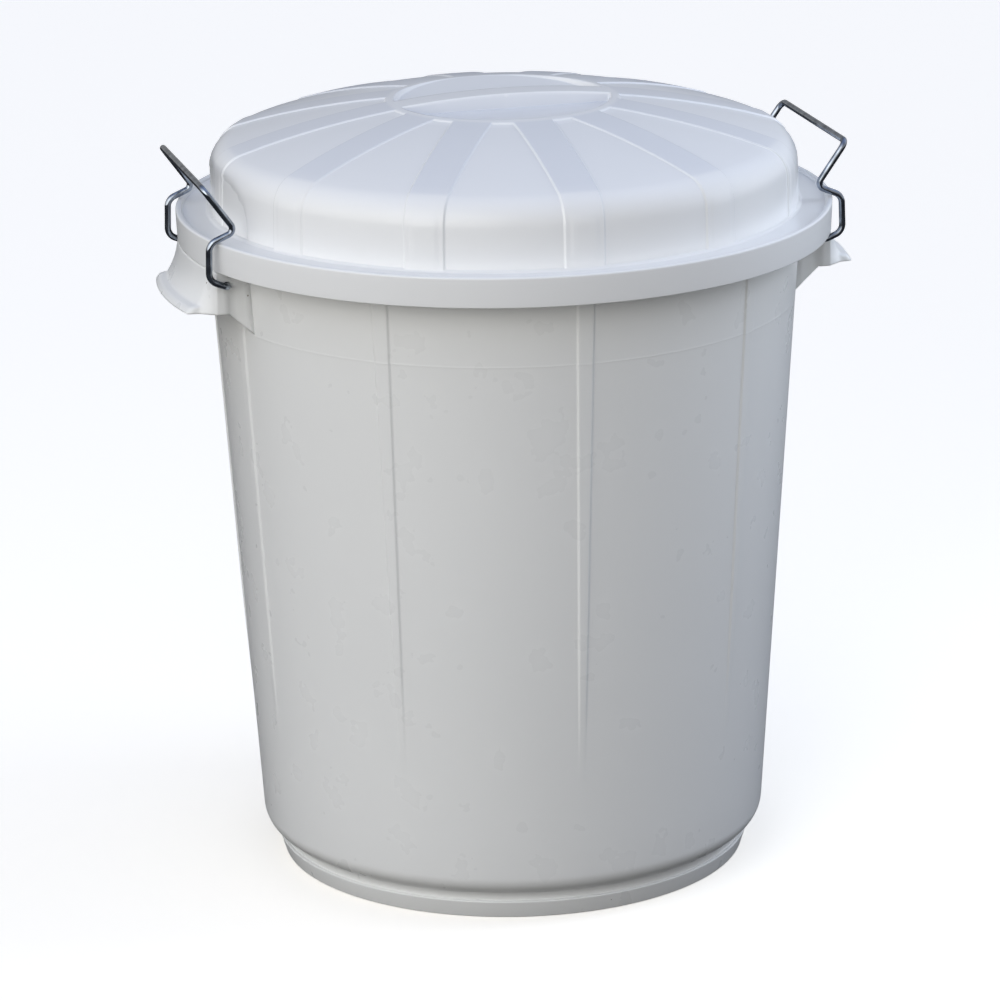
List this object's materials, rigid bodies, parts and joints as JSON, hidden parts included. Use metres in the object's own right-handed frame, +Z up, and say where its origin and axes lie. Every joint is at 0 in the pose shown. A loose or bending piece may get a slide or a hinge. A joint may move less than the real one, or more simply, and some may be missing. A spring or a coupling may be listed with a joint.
{
  "type": "lidded plastic drum",
  "caption": "Tapered round plastic drum with a domed lid, a foot ring and hollow side handles, closed by bent-wire clips that hook over the lid's lip.",
  "frame": {"origin": "on the ground under the drum's axis", "axes": "+Z up along the drum's axis, the two handles and clips on -X and +X, the front towards -Y"},
  "size_m": [0.491, 0.4598, 0.5515],
  "materials": {
    "drum_plastic": "satin white polypropylene",
    "lid_plastic": "satin white polypropylene",
    "zinc_wire": "bright zinc-plated steel wire"
  },
  "bodies": {
    "drum": {"drum_body": "drum_plastic"},
    "lid": {"lid": "lid_plastic"},
    "left_clip": {"clip_left": "zinc_wire"},
    "right_clip": {"clip_right": "zinc_wire"}
  },
  "joints": [
    {"name": "left_clip_swing", "type": "hinge", "parent": "drum", "child": "left_clip", "pos_m": [-0.213, 0, 0.444], "axis": [0, -1, 0], "range_deg": [0, 165]},
    {"name": "right_clip_swing", "type": "hinge", "parent": "drum", "child": "right_clip", "pos_m": [0.213, 0, 0.444], "axis": [0, 1, 0], "range_deg": [0, 165]},
    {"name": "lid_lift", "type": "slide", "parent": "drum", "child": "lid", "axis": [0, 0, 1], "range_m": [0, 0.46]}
  ]
}
